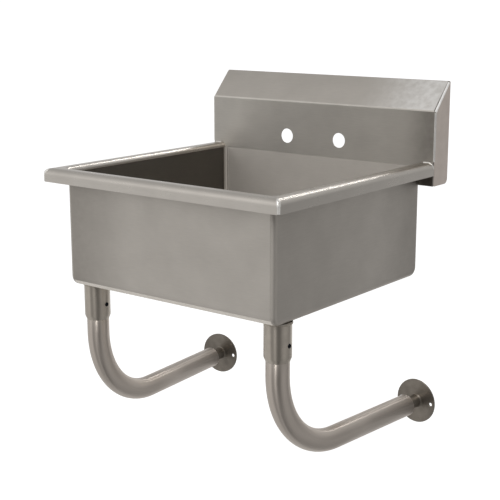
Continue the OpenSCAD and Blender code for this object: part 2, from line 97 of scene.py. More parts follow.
class SinkSizes(bpy.types.PropertyGroup):
    """Sizes of the details that the frame doesn't hold"""

    sheet_edge: width("Eased sheet edge", "Width of the deburred edge of the sheet", 0.35, 0.1, 0.7)
    turned_edge: width("Turned edge", "Width of the broken edge of a turned or sawn piece", 0.5, 0.1, 1.5)
    bend_radius: width("Tube bend", "Radius of the support tubes' bend, on their centreline", 152, 90, 155)
    tube_wall: width("Tube wall", "Wall of the support tubes", 1.6, 1.2, 3)
    rim_roll: width("Rim roll", "Radius of the rims' rolled edge", 12, 8, 15)
    rim_bend: width("Rim bend", "Radius of the rims' bend into the bowl", 9, 6, 14)
    mitre_weld: width("Mitre weld", "Width of the rounded welds at the rims' mitres", 8, 3, 12)
    fillet_weld: width("Fillet weld", "Width of the welds between the rims and the backsplash", 4.6, 1, 5)
    corner_weld: width("Corner weld", "Width of the welds at the backsplash's corners", 6.0, 2, 8)
    crease: width(
        "Crease", "Width of the bend under the backsplash's slant, each way from its middle", 4.5, 1, 8)
    weld_width: width("Weld width", "Width of the weld beads round the leg sockets", 2.6, 1.5, 7)
    weld_ripple: width("Weld ripple", "Distance between the ripples of a weld bead", 1.6, 1, 4)
    thread_pitch: width("Drain thread", "Pitch of the drain body's thread", 2.2, 1.5, 3)
    bevel_steps: IntProperty(
        name="Edge steps", description="Segments across an eased edge", default=2, min=1, max=4)


class SinkColours(bpy.types.PropertyGroup):
    """Finish colours, as sRGB hex values"""

    sheet: hex_colour("Brushed sheet", "Brushed stainless sheet", "#cbc5bd")
    # Painted light: brighter than the sheet, standing in for the light that the bowl's walls throw on each
    # other.
    inside: hex_colour("Inside of the bowl", "Sheet polished brighter inside the bowl", "#cec8c0")
    # Painted shade: darker than the sheet, standing in for the shade on the inner faces of the bowl's sides.
    inner_side: hex_colour("Inner sides", "Inside faces of the bowl's two sides", "#706c66")
    splash: hex_colour("Splash face", "Face of the backsplash", "#d6d1c9")
    # Painted highlight: near white, laid on the right end of the backsplash's slant and on the welds at the
    # slant's corners.
    bright: hex_colour("Buffed sheet", "Sheet buffed bright after welding", "#fffdfa")
    # Painted shade: a darker sheet laid towards the bowl front's left end, the sides' back ends and the
    # backsplash face's right end, where they lie in shade.
    painted_shade: hex_colour("Dull sheet", "Sheet where the belt hardly reached", "#8f8982")
    # Painted highlight: lighter than the sheet, so that the rounded bend under the slant shows as a bright
    # band.
    crease: hex_colour("Crease", "Bend between the splash face and the slant", "#e3ded6")
    rim: hex_colour("Rims", "Polished sheet of the rims", "#d4cec6")
    cap: hex_colour("End caps", "End caps of the backsplash", "#ece1d8")
    tube: hex_colour("Polished tube", "Polished stainless tube", "#d2c8be")
    turned: hex_colour("Turned steel", "Leg sockets, turned from stainless bar", "#cdc4b8")
    # Painted shade: darker than the leg sockets' turned steel, standing in for the dark surroundings that the
    # feet's faces reflect.
    flange: hex_colour("Turned feet", "Feet, turned from stainless bar", "#9c948a")
    weld: hex_colour("Dressed weld", "Weld metal, brushed bright", "#f2efea")
    raw_weld: hex_colour("Raw weld", "Weld metal left as the torch laid it", "#c4bbae")
    screw: hex_colour("Black oxide", "Set screws of black-oxide alloy steel", "#2e3036")
    worn: hex_colour("Worn edge", "Steel laid bare by the key at the set screws' edges", "#d3dadd")
    bracket: hex_colour("Galvanised sheet", "Wall bracket of galvanised steel", "#a3a7a9")
    brass: hex_colour("Plated brass", "Drain fittings of nickel-plated brass", "#b3aa98")
    rubber: hex_colour("Nitrile rubber", "Gasket and stopper of nitrile rubber", "#1d1c1c")
    fibre: hex_colour("Fibre ring", "Friction ring of pressed fibre", "#b59f78")
    floor: hex_colour("Floor", "Pale studio floor", "#f2f2f2")


class StudioSettings(bpy.types.PropertyGroup):
    """Camera and light of the studio"""

    camera_place: FloatVectorProperty(
        name="Camera place", description="Where the camera stands", size=3, subtype="TRANSLATION",
        default=(1.28733, -1.91954, 0.20508))
    azimuth: FloatProperty(
        name="Azimuth", description="Turn of the view to the left of straight at the wall",
        default=math.radians(37.918), subtype="ANGLE")
    elevation: FloatProperty(
        name="Elevation", description="Height of the view above level",
        default=math.radians(12.741), subtype="ANGLE")
    roll: FloatProperty(
        name="Roll", description="Roll of the camera", default=math.radians(-0.054), subtype="ANGLE")
    lens: FloatProperty(
        name="Lens", description="Focal length in millimetres on a 36 mm frame", default=82.415)
    floor_level: FloatProperty(
        name="Floor level", description="Height of the floor under the wall bracket's screws",
        default=-1.0, unit="LENGTH")
    strip_power: FloatProperty(
        name="Strip lights", description="Power of each narrow light behind the sink, in watts", default=4.4)
    front_power: FloatProperty(
        name="Front light", description="Power of the narrow light high behind the camera, in watts",
        default=36.0)


def settings(context):
    """The sizes and the colours that the scene holds."""
    return context.scene.sink_sizes, context.scene.sink_colours


# Materials. A gloss is the roughness of (the brightest, the deepest) parts of a surface's pattern.

BRUSHED_GLOSS = (0.40, 0.46)
BUFFED_GLOSS = (0.34, 0.46)
EDGE_GLOSS = (0.2, 0.3)

NOISE_RANGE = (0.3, 0.7)  # where nearly all of a noise's values lie
LINE_SHARE = 0.45  # share of the tone that the fine lines make, next to the clouds
QUARTER_TURN = 0.25  # reflections pulled out across the grain, in turns


def linear(colour, share=1.0):
    """A hex sRGB colour as linear RGBA, times a share of brightness."""
    parts = [int(colour[i:i + 2], 16) / 255 for i in (1, 3, 5)]
    curve = [p / 12.92 if p <= 0.04045 else ((p + 0.055) / 1.055) ** 2.4 for p in parts]
    return (*[c * share for c in curve], 1.0)


def add(tree, kind, inputs=None, **options):
    """Adds a node with its options. An input is a value, or the socket or node that it is linked from,
    a node by its first output."""
    made = tree.nodes.new(kind)
    for name, value in options.items():
        setattr(made, name, value)
    for name, value in (inputs or {}).items():
        if isinstance(value, bpy.types.Node):
            value = value.outputs[0]
        if isinstance(value, bpy.types.NodeSocket):
            tree.links.new(value, made.inputs[name])
        else:
            made.inputs[name].default_value = value
    return made


def new_material(name):
    """An empty material and its node tree."""
    material = bpy.data.materials.new(name)
    material.use_nodes = True
    material.node_tree.nodes.clear()
    return material, material.node_tree


def spread(tree, value, low, high):
    """A noise's value mapped to low to high."""
    return add(tree, "ShaderNodeMapRange", {
        "Value": value, "From Min": NOISE_RANGE[0], "From Max": NOISE_RANGE[1], "To Min": low,
        "To Max": high})


def mottled(tree, pattern, colour, deep):
    """A colour that a pattern takes down to a deep share of itself."""
    return add(tree, "ShaderNodeMix", {
        "Factor": spread(tree, pattern, 0.0, 1.0), 6: linear(colour, deep), 7: linear(colour)},
        data_type="RGBA").outputs[2]


def metal_surface(material, colour, deep, lines, clouds, gloss, relief_mm, relief_strength, grain=None,
                  pull=0.0, turn=QUARTER_TURN, painted_light_and_shade=(), scatter=0.0):
    """Makes a metal of a material. Its colour, gloss and relief follow fine lines and soft clouds, down
    to a deep share of the colour. Reflections are pulled out by a share of pull, a turn away from the
    grain, a direction in the piece's own axes. painted_light_and_shade lists (share, colour) of painted
    shade and painted highlights mixed into the colour. scatter is the share of light that the finest
    scratches throw every way."""
    tree = material.node_tree
    tone = add(tree, "ShaderNodeMath", {0: lines, 1: LINE_SHARE, 2: 0.0}, operation="MULTIPLY_ADD")
    tone = add(tree, "ShaderNodeMath", {0: clouds, 1: 1 - LINE_SHARE, 2: tone}, operation="MULTIPLY_ADD")
    shade = mottled(tree, tone, colour, deep)
    for share, new in painted_light_and_shade:
        shade = add(tree, "ShaderNodeMix", {"Factor": share, 6: shade, 7: linear(new)},
                    data_type="RGBA").outputs[2]
    look = {
        "Base Color": shade, "Metallic": 1.0 - scatter, "Anisotropic": pull,
        "Roughness": spread(tree, tone, gloss[1], gloss[0]),
        "Normal": add(tree, "ShaderNodeBump", {
            "Height": lines, "Strength": relief_strength, "Distance": relief_mm * MM})}
    if grain is not None:
        look["Tangent"] = add(tree, "ShaderNodeVectorTransform", {0: grain},
                              vector_type="VECTOR", convert_from="OBJECT", convert_to="WORLD")
        look["Anisotropic Rotation"] = turn
    add(tree, "ShaderNodeOutputMaterial", {"Surface": add(tree, "ShaderNodeBsdfPrincipled", look)})
    return material


def object_place(tree):
    """Object coordinates, in metres in the model's frame."""
    return add(tree, "ShaderNodeTexCoord").outputs["Object"]


def streaks(tree, place, spacing_mm, detail=3.0):
    """Noise stretched by the length of a stroke in each direction, or by one length in all of them, given
    in millimetres."""
    lengths = [spacing_mm] * 3 if isinstance(spacing_mm, float) else spacing_mm
    scaled = add(tree, "ShaderNodeMapping", {"Vector": place, "Scale": [1 / (s * MM) for s in lengths]})
    return add(tree, "ShaderNodeTexNoise", {"Vector": scaled, "Scale": 1.0, "Detail": detail})


def painted_light_and_shade_zone(tree, place, axis, start, end, share, even, colour):
    """How far a colour of painted shade, or of a painted highlight, covers the sheet: from nothing at one
    place along an axis to a share at another, mottled down to the even part of it."""
    across = add(tree, "ShaderNodeSeparateXYZ", {0: place}).outputs[axis]
    ramp = add(tree, "ShaderNodeMapRange", {
        "Value": across, "From Min": start, "From Max": end, "To Min": 0.0, "To Max": share},
        interpolation_type="SMOOTHSTEP")
    mottle = spread(tree, streaks(tree, place, 12.0, 4.0), even, 1.0)
    return add(tree, "ShaderNodeMath", {0: ramp, 1: mottle}, operation="MULTIPLY"), colour


def brushed_sheet(name, colour, grain, gloss=BRUSHED_GLOSS, pull=0.8, zone=None, scatter=0.0):
    """304 stainless sheet with a number 4 brushed finish: the belt's parallel scratches pull the
    reflections into soft bands, and the surface stays satin. The scratches are about 0.2 mm apart on
    real sheet and are drawn at 1.1 mm, so that they show. grain is the axis that they follow, and zone
    holds what painted_light_and_shade_zone asks for."""
    material, tree = new_material(name)
    place = object_place(tree)
    stroke = [1.1, 1.1, 1.1]
    stroke[grain] = 22.0
    along = [0.0, 0.0, 0.0]
    along[grain] = 1.0
    return metal_surface(
        material, colour, deep=0.90, lines=streaks(tree, place, stroke), clouds=streaks(tree, place, 55.0),
        gloss=gloss, relief_mm=0.05, relief_strength=0.06, grain=along, pull=pull,
        painted_light_and_shade=[painted_light_and_shade_zone(tree, place, **zone)] if zone else (), scatter=scatter)


def turned_surface(name, colour, point, direction, line_mm, cloud_mm, deep, gloss, relief_mm, pull):
    """A metal turned round an axis through a point, its fine lines in rings round it."""
    material, tree = new_material(name)
    place = object_place(tree)
    moved = add(tree, "ShaderNodeVectorMath", {0: place, 1: point}, operation="SUBTRACT")
    along = add(tree, "ShaderNodeVectorMath", {0: moved, 1: direction},
                operation="DOT_PRODUCT").outputs["Value"]
    back = add(tree, "ShaderNodeVectorMath", {0: direction, "Scale": along}, operation="SCALE")
    across = add(tree, "ShaderNodeVectorMath", {0: moved, 1: back}, operation="SUBTRACT")
    radius = add(tree, "ShaderNodeVectorMath", {0: across}, operation="LENGTH").outputs["Value"]
    ring = add(tree, "ShaderNodeVectorMath", {0: direction, 1: across}, operation="CROSS_PRODUCT")
    rings_at = add(tree, "ShaderNodeCombineXYZ", {"X": radius, "Y": along})
    return metal_surface(
        material, colour, deep, streaks(tree, rings_at, [line_mm, line_mm, 1.0], 2.0),
        streaks(tree, place, cloud_mm), gloss, relief_mm, relief_strength=0.15, grain=ring, pull=pull)


def turned_steel(name, colour, point, direction, gloss=(0.26, 0.38), deep=0.78, pull=0.85):
    """Stainless turned on a lathe: tool marks in rings round the axis, about 0.15 mm apart on the real
    piece and drawn at 0.6 mm, gather the light into fans on a flat face and into bands on a stem."""
    return turned_surface(name, colour, point, direction, line_mm=0.6, cloud_mm=14.0, deep=deep,
                          gloss=gloss, relief_mm=0.04, pull=pull)


def plated_brass(name, colour, point):
    """Brass, cast and turned, with a satin nickel plate: warm grey with fine rings round the drain."""
    return turned_surface(name, colour, point, UP, line_mm=0.5, cloud_mm=18.0, deep=0.85,
                          gloss=(0.22, 0.32), relief_mm=0.05, pull=0.6)


def polished_tube(name, colour):
    """Stainless tube, belt polished along its length: long faint strokes on a smooth satin ground.
    The strokes follow the tube through its bend, by the unbent place kept in the piece's attribute."""
    material, tree = new_material(name)
    place, way = [add(tree, "ShaderNodeAttribute", attribute_name=kept).outputs["Vector"]
                  for kept in ("along_tube", "tube_way")]
    return metal_surface(
        material, colour, deep=0.88, lines=streaks(tree, place, [1.1, 1.1, 90.0]),
        clouds=streaks(tree, place, [60.0, 60.0, 110.0], 2.0), gloss=(0.30, 0.36), relief_mm=0.04,
        relief_strength=0.06, grain=way, pull=0.9, turn=0.0)


def even_metal(name, colour, deep, line_mm, cloud_mm, gloss, relief_mm, relief_strength, cloud_detail=2.0,
               **ways):
    """A metal whose fine lines and clouds are the same size every way."""
    material, tree = new_material(name)
    place = object_place(tree)
    return metal_surface(material, colour, deep, streaks(tree, place, line_mm),
                         streaks(tree, place, cloud_mm, cloud_detail), gloss, relief_mm, relief_strength,
                         **ways)


def weld_metal(name, colour, gloss, scatter=0.0):
    """Weld metal brushed with a stainless wheel: brighter than the sheet, with a fine uneven scratch."""
    return even_metal(name, colour, deep=0.8, line_mm=1.2, cloud_mm=9.0, gloss=gloss, relief_mm=0.05,
                      relief_strength=0.15, scatter=scatter)


def dressed_weld(name, colour):
    """Sheet whose weld was ground and then buffed by hand: an even satin, a little cloudy, with its
    reflections drawn out upright, so that a corner turns softly from light to dark."""
    return even_metal(name, colour, deep=0.90, line_mm=1.6, cloud_mm=22.0, gloss=(0.50, 0.58),
                      relief_mm=0.05, relief_strength=0.1, cloud_detail=3.0, grain=UP, pull=0.35, turn=0.0)


def black_oxide(name, colour):
    """Alloy steel with a black-oxide skin: near black with a blue cast, and an oily gloss on the edges."""
    return even_metal(name, colour, deep=0.6, line_mm=0.5, cloud_mm=3.0, gloss=(0.22, 0.40),
                      relief_mm=0.03, relief_strength=0.2)


def galvanised_sheet(name, colour):
    """Hot-dip galvanised sheet: grey zinc with the faint patches of its crystals, about 12 mm across."""
    material, tree = new_material(name)
    place = object_place(tree)
    scaled = add(tree, "ShaderNodeMapping", {"Vector": place, "Scale": [1 / (12.0 * MM)] * 3})
    spangle = add(tree, "ShaderNodeTexVoronoi", {"Vector": scaled, "Scale": 1.0}).outputs["Color"]
    patch = add(tree, "ShaderNodeSeparateColor", {"Color": spangle})
    return metal_surface(material, colour, deep=0.72, lines=streaks(tree, place, 2.0), clouds=patch,
                         gloss=(0.34, 0.52), relief_mm=0.04, relief_strength=0.12)


def matte_surface(name, colour, deep, grain_mm, gloss, relief_strength):
    """A surface that isn't metal, with a fine grain in its colour and relief."""
    material, tree = new_material(name)
    grain = streaks(tree, object_place(tree), grain_mm, 4.0)
    relief = add(tree, "ShaderNodeBump", {
        "Height": grain, "Strength": relief_strength, "Distance": 0.1 * MM})
    shader = add(tree, "ShaderNodeBsdfPrincipled", {
        "Base Color": mottled(tree, grain, colour, deep), "Normal": relief,
        "Roughness": spread(tree, grain, gloss[1], gloss[0])})
    add(tree, "ShaderNodeOutputMaterial", {"Surface": shader})
    return material


def moulded_rubber(name, colour):
    """Nitrile rubber from a polished mould: near black and slightly sooty, with a soft low sheen."""
    return matte_surface(name, colour, deep=0.7, grain_mm=0.8, gloss=(0.55, 0.7), relief_strength=0.15)


def pressed_fibre(name, colour):
    """Vulcanised fibre board: tan and matte, with the mottle of its pressed pulp."""
    return matte_surface(name, colour, deep=0.75, grain_mm=1.5, gloss=(0.75, 0.9), relief_strength=0.3)


finishes = {}


def finish(name, make, *values, **named):
    """The finish of that name, made by a function the first time it is asked for."""
    if name not in finishes:
        finishes[name] = make(name, *values, **named)
    return finishes[name]


def eased_edge(colours):
    """The bright narrow edge of a deburred sheet or turned piece."""
    return finish("eased_304_edge", weld_metal, colours.weld, EDGE_GLOSS)


def sheet_finishes(colours, grain):
    """A brushed sheet with its grain along an axis, and the sheet's eased edge."""
    return [finish("brushed_304_grain_" + "xyz"[grain], brushed_sheet, colours.sheet, grain),
            eased_edge(colours)]


# Reading the frame


def middle(node):
    """Centre of a node's box."""
    low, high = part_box(node)
    return (low + high) / 2


def joint_axis(name):
    """Direction of a joint's axis."""
    return Vector(next(j["axis"] for j in frame["joints"] if j["name"] == name))


def vertex_places(node):
    """Places of a node's vertices."""
    return [v.co for v in frame["nodes"][node].data.vertices]


def span_along(node, point, direction):
    """Lowest and highest place of a node's vertices along a direction from a point."""
    places = [(place - point).dot(direction) for place in vertex_places(node)]
    return min(places), max(places)


# Making pieces

FACE_SLOT, EDGE_SLOT = 0, 1  # places of the faces' and the eased edges' finishes in a piece's materials
SHARP = math.radians(34)  # sharpest bend that isn't eased as an edge
FLAT = math.radians(0.5)  # bend under which two triangles are one face


@contextmanager
def edited(mesh):
    """A mesh opened as a bmesh, and written back at the end."""
    shape = bmesh.new()
    shape.from_mesh(mesh)
    yield shape
    shape.to_mesh(mesh)
    shape.free()


def scene_object(name, data):
    """An object in the scene."""
    made = bpy.data.objects.new(name, data)
    bpy.context.scene.collection.objects.link(made)
    return made


def place_piece(name, mesh, node, materials, replaced=True):
    """Makes a finished piece of a mesh. It rides with a node and may stand for it."""
    piece = scene_object(name, mesh)
    mesh.materials.clear()
    for material in materials:
        mesh.materials.append(material)
    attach(piece, frame["nodes"][node]["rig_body"])
    if replaced:
        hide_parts(node)
    return piece


def evaluated_mesh(source):
    """The mesh of an object after its modifiers. The object is removed."""
    shape = source.evaluated_get(bpy.context.evaluated_depsgraph_get())
    mesh = bpy.data.meshes.new_from_object(shape)
    old = source.data
    bpy.data.objects.remove(source)
    bpy.data.meshes.remove(old)
    return mesh


def merged_copy(node):
    """A node's mesh with its loose triangles joined into faces."""
    mesh = frame["nodes"][node].data.copy()
    if "custom_normal" in mesh.attributes:
        mesh.attributes.remove(mesh.attributes["custom_normal"])
    with edited(mesh) as shape:
        bmesh.ops.remove_doubles(shape, verts=shape.verts, dist=0.002 * MM)
        bmesh.ops.dissolve_limit(shape, angle_limit=FLAT, verts=shape.verts, edges=shape.edges,
                                 use_dissolve_boundaries=False)
        for face in shape.faces:
            face.smooth = True
            face.material_index = FACE_SLOT
    mesh.materials.clear()
    return mesh


def cut_off(mesh, point, outward):
    """Cuts a mesh off along a plane, on its outward side, and closes it."""
    with edited(mesh) as shape:
        bmesh.ops.bisect_plane(shape, geom=shape.verts[:] + shape.edges[:] + shape.faces[:],
                               dist=0.001 * MM, plane_co=point, plane_no=outward, clear_outer=True)
        open_edges = [edge for edge in shape.edges if edge.is_boundary]
        if open_edges:
            bmesh.ops.holes_fill(shape, edges=open_edges, sides=0)


def dress(piece_name, node, materials, edge, shaping=None):
    """Replaces a node with a merged copy, shaped further by a function of its mesh, in its finish. Its
    sharp edges are eased, and the eased edges take the second material."""
    mesh = merged_copy(node)
    if shaping:
        shaping(mesh)
    source = scene_object(node + "_source", mesh)
    for _ in range(2):
        source.data.materials.append(None)
    bevel = source.modifiers.new("Eased edges", "BEVEL")
    bevel.width = edge
    bevel.segments = bpy.context.scene.sink_sizes.bevel_steps
    bevel.limit_method = "ANGLE"
    bevel.angle_limit = SHARP
    bevel.material = EDGE_SLOT
    bevel.harden_normals = True
    return place_piece(piece_name, evaluated_mesh(source), node, materials)


# Geometry node trees


def new_tree(name, sockets):
    """A geometry node tree with named inputs of (kind, name, default), and its inputs' sockets."""
    tree = bpy.data.node_groups.new(name, "GeometryNodeTree")
    tree.is_modifier = True
    for kind, label, default in [("Geometry", "Geometry", None)] + sockets:
        socket = tree.interface.new_socket(label, in_out="INPUT", socket_type="NodeSocket" + kind)
        if default is not None:
            socket.default_value = default
    tree.interface.new_socket("Geometry", in_out="OUTPUT", socket_type="NodeSocketGeometry")
    return tree, add(tree, "NodeGroupInput").outputs


def close_tree(tree, shape, material):
    """Ends a tree in realised instances and a material."""
    real = add(tree, "GeometryNodeRealizeInstances", {"Geometry": shape})
    painted = add(tree, "GeometryNodeSetMaterial", {"Geometry": real, "Material": material})
    add(tree, "NodeGroupOutput", {0: painted})
    return tree


def run_tree(source, tree, values):
    """Gives an object a geometry nodes modifier with its named inputs set."""
    modifier = source.modifiers.new(tree.name, "NODES")
    modifier.node_group = tree
    keys = {item.name: item.identifier for item in tree.interface.items_tree
            if item.item_type == "SOCKET" and item.in_out == "INPUT"}
    for label, value in values.items():
        modifier[keys[label]] = value


def path_object(name, points, closed=False):
    """A line through points, for a tree to follow."""
    mesh = bpy.data.meshes.new(name)
    edges = [(i, i + 1) for i in range(len(points) - 1)]
    if closed:
        edges.append((len(points) - 1, 0))
    mesh.from_pydata([tuple(p) for p in points], edges, [])
    return scene_object(name, mesh)


def bent_tube_tree():
    """A tube's outer skin along a line with one bend. It keeps the unbent place of every point, so that
    the polish can follow the tube."""
    tree, given = new_tree("Bent tube", [
        ("Float", "Bend radius", 0.15), ("Float", "Tube radius", 0.019), ("Int", "Bend steps", 28),
        ("Int", "Round steps", 56), ("Material", "Finish", None)])
    line = add(tree, "GeometryNodeMeshToCurve", {"Mesh": given["Geometry"]})
    path = add(tree, "GeometryNodeFilletCurve", {
        "Curve": line, "Radius": given["Bend radius"], "Count": given["Bend steps"]}, mode="POLY")
    length = add(tree, "GeometryNodeSplineParameter").outputs["Length"]
    way = add(tree, "GeometryNodeInputTangent")
    for name, kind, value in (("run", "FLOAT", length), ("tube_way", "FLOAT_VECTOR", way)):
        path = add(tree, "GeometryNodeStoreNamedAttribute", {"Geometry": path, "Name": name, "Value": value},
                   data_type=kind, domain="POINT")
    ring = add(tree, "GeometryNodeCurvePrimitiveCircle", {
        "Resolution": given["Round steps"], "Radius": given["Tube radius"]}, mode="RADIUS")
    ring = add(tree, "GeometryNodeStoreNamedAttribute", {
        "Geometry": ring, "Name": "ring", "Value": add(tree, "GeometryNodeInputPosition")},
        data_type="FLOAT_VECTOR", domain="POINT")
    skin = add(tree, "GeometryNodeCurveToMesh", {"Curve": path, "Profile Curve": ring})
    run = add(tree, "GeometryNodeInputNamedAttribute", {"Name": "run"}, data_type="FLOAT")
    round_at = add(tree, "GeometryNodeInputNamedAttribute", {"Name": "ring"}, data_type="FLOAT_VECTOR")
    split = add(tree, "ShaderNodeSeparateXYZ", {0: round_at}).outputs
    unbent = add(tree, "ShaderNodeCombineXYZ", {0: split[0], 1: split[1], 2: run})
    skin = add(tree, "GeometryNodeStoreNamedAttribute", {
        "Geometry": skin, "Name": "along_tube", "Value": unbent}, data_type="FLOAT_VECTOR", domain="POINT")
    for name in ("run", "ring"):
        skin = add(tree, "GeometryNodeRemoveAttribute", {"Geometry": skin, "Name": name})
    return close_tree(tree, skin, given["Finish"])


def weld_tree():
    """A weld bead along a line, its width waving with the ripples that the torch leaves."""
    tree, given = new_tree("Weld bead", [
        ("Float", "Width", 0.004), ("Float", "Ripple", 0.0016), ("Float", "Ripple depth", 0.1),
        ("Float", "Step", 0.0004), ("Int", "Round steps", 10), ("Material", "Finish", None)])
    line = add(tree, "GeometryNodeMeshToCurve", {"Mesh": given["Geometry"]})
    line = add(tree, "GeometryNodeResampleCurve", {"Curve": line, "Length": given["Step"]}, mode="LENGTH")
    length = add(tree, "GeometryNodeSplineParameter").outputs["Length"]
    turns = add(tree, "ShaderNodeMath", {0: length, 1: given["Ripple"]}, operation="DIVIDE")
    phase = add(tree, "ShaderNodeMath", {0: turns, 1: math.pi}, operation="MULTIPLY")
    wave = add(tree, "ShaderNodeMath", {0: phase}, operation="SINE")
    ridge = add(tree, "ShaderNodeMath", {0: wave}, operation="ABSOLUTE")
    swell = add(tree, "ShaderNodeMath", {0: ridge, 1: given["Ripple depth"], 2: 1.0},
                operation="MULTIPLY_ADD")
    radius = add(tree, "ShaderNodeMath", {0: given["Width"], 1: 0.5}, operation="MULTIPLY")
    ring = add(tree, "GeometryNodeCurvePrimitiveCircle", {
        "Resolution": given["Round steps"], "Radius": radius}, mode="RADIUS")
    bead = add(tree, "GeometryNodeCurveToMesh", {
        "Curve": line, "Profile Curve": ring, "Scale": swell, "Fill Caps": True})
    return close_tree(tree, bead, given["Finish"])


def thread_tree():
    """A screw thread: a ridge of square section, set on its corner, wound in a helix."""
    tree, given = new_tree("Screw thread", [
        ("Float", "Radius", 0.04), ("Float", "Pitch", 0.002), ("Float", "Length", 0.01),
        ("Float", "Depth", 0.001), ("Vector", "Start", None), ("Int", "Round steps", 64),
        ("Material", "Finish", None)])
    turns = add(tree, "ShaderNodeMath", {0: given["Length"], 1: given["Pitch"]}, operation="DIVIDE")
    helix = add(tree, "GeometryNodeCurveSpiral", {
        "Resolution": given["Round steps"], "Rotations": turns, "Start Radius": given["Radius"],
        "End Radius": given["Radius"], "Height": given["Length"]})
    helix = add(tree, "GeometryNodeSetCurveNormal", {"Curve": helix}, mode="Z_UP")
    ridge = add(tree, "GeometryNodeCurvePrimitiveCircle", {"Resolution": 4, "Radius": given["Depth"]},
                mode="RADIUS")
    thread = add(tree, "GeometryNodeCurveToMesh", {
        "Curve": helix, "Profile Curve": ridge, "Fill Caps": True})
    thread = add(tree, "GeometryNodeTransform", {"Geometry": thread, "Translation": given["Start"]})
    return close_tree(tree, thread, given["Finish"])


trees = {}


def tree_of(build):
    """The tree that a function builds, built once."""
    if build not in trees:
        trees[build] = build()
    return trees[build]


def facing_out(mesh):
    """Turns a closed mesh's faces outwards if they point in."""
    with edited(mesh) as shape:
        if shape.calc_volume(signed=True) < 0:
            bmesh.ops.reverse_faces(shape, faces=shape.faces)
        for face in shape.faces:
            face.smooth = True
    return mesh


def weld_beads(name, paths, material, width, ripple, depth):
    """One piece of weld beads along several lines of (points, closed, share of the width). depth is the
    ripples' height as a share of the bead's radius."""
    beads = bpy.data.meshes.new(name)
    with edited(beads) as shape:
        for points, closed, share in paths:
            source = path_object(name + "_path", points, closed)
            run_tree(source, tree_of(weld_tree), {
                "Width": width * share, "Ripple": ripple, "Ripple depth": depth, "Step": ripple / 4,
                "Finish": material})
            bead = facing_out(evaluated_mesh(source))
            shape.from_mesh(bead)
            bpy.data.meshes.remove(bead)
    place_piece(name, beads, WELD_MATE, [material], False)


# Operators

COVE_SLOT, INNER_SLOT = 2, 3  # places of the coves' and the inner faces' finishes
FRONT_PAINTED_SHADE = 0.3  # where the front's painted shade starts, as a share of the bowl's half width
SIDE_PAINTED_SHADE = 170 * MM  # how far before the bowl's back a side's painted shade starts
INSIDE = 0.9  # share of the sheet's thickness past which a place counts as inside the bowl
COVE_TURN = 0.97  # share of a face's normal across the sink under which it lies on a side panel's cove
CORNER_CUT = 0.69  # share of a rounded weld's radius that the corner under it is cut back by


def within(place, low, high):
    """Whether a place is inside a box."""
    return all(least < value < most for value, least, most in zip(place, low, high))


class SINK_OT_bowl(bpy.types.Operator):
    """Bowl: the wrap that makes its front, floor and back, and its two side panels"""

    bl_idname = "sink.bowl"
    bl_label = "Bowl"

    def execute(self, context):
        sizes, colours = settings(context)
        low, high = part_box("bowl_wrap")
        # The front darkens towards its left end and each side towards its back end: painted shade.
        front = finish("brushed_304_front", brushed_sheet, colours.sheet, 0, zone={
            "axis": 0, "start": low.x * FRONT_PAINTED_SHADE, "end": low.x, "share": 0.6, "even": 0.85,
            "colour": colours.painted_shade})
        side = finish("brushed_304_side", brushed_sheet, colours.sheet, 1, zone={
            "axis": 1, "start": high.y - SIDE_PAINTED_SHADE, "end": high.y, "share": 0.65, "even": 0.85,
            "colour": colours.painted_shade})
        # Painted light: the inside of the bowl is a brighter copy of the sheet, with a share of even scatter.
        satin = finish("satin_304_inside", brushed_sheet, colours.inside, 0, gloss=(0.50, 0.56), pull=0.9,
                       scatter=0.55)
        # Painted shade: the sides' inner faces take a darker copy of the sheet.
        shaded = finish("satin_304_inner_side", brushed_sheet, colours.inner_side, 1)
        dressed = finish("dressed_corner", dressed_weld, colours.sheet)
        skin = (high.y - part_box("splash_panel")[0].y) * INSIDE
        inner_low, inner_high = low + Vector((-skin, skin, skin)), high + Vector((skin, -skin, skin))
        for node, grain in (("bowl_wrap", 0), ("bowl_side_left", 1), ("bowl_side_right", 1)):
            finishes_here = [(front, side)[grain], eased_edge(colours), dressed, (satin, shaded)[grain]]
            sheet = dress(node + "_sheet", node, finishes_here, sizes.sheet_edge)
            for face in sheet.data.polygons:
                faces_in = grain == 1 and face.normal.x * face.center.x < 0
                if face.material_index == FACE_SLOT:
                    if grain == 1 and abs(face.normal.x) < COVE_TURN:
                        face.material_index = COVE_SLOT
                    elif faces_in or within(face.center, inner_low, inner_high):
                        face.material_index = INNER_SLOT
        return {"FINISHED"}


class SINK_OT_rims(bpy.types.Operator):
    """Rims: three rolled rims, mitred at the front corners"""

    bl_idname = "sink.rims"
    bl_label = "Rims"

    def execute(self, context):
        sizes, colours = settings(context)

        def round_mitres(mesh):
            for side in SIDES.values():
                corner = Vector((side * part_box("rim_right")[1].x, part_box("rim_front")[0].y, 0.0))
                outward = Vector((side, -1.0, 0.0)).normalized()
                cut_off(mesh, corner - outward * sizes.mitre_weld / 2 * CORNER_CUT, outward)

        for node, grain in (("rim_front", 0), ("rim_left", 1), ("rim_right", 1)):
            polished = finish("polished_304_grain_" + "xyz"[grain], brushed_sheet, colours.rim, grain,
                              gloss=(0.26, 0.32), pull=0.5)
            dress(node + "_roll", node, [polished, eased_edge(colours)], sizes.sheet_edge,
                  round_mitres)
        return {"FINISHED"}


TOUCH = 0.1 * MM  # distance within which a place lies on the backsplash's face
CREASE_REACH = 0.3 * MM  # distance within which an edge lies on the bend under the slant


def slant_ends(label):
    """The crease and the top edge of the backsplash's slant, read from an end cap."""
    places = vertex_places("splash_end_" + label)
    front = min(place.y for place in places)
    crease = max((place for place in places if place.y < front + TOUCH), key=lambda place: place.z)
    ridge = max(places, key=lambda place: (round(place.z, 4), -place.y))
    return crease.copy(), ridge.copy()


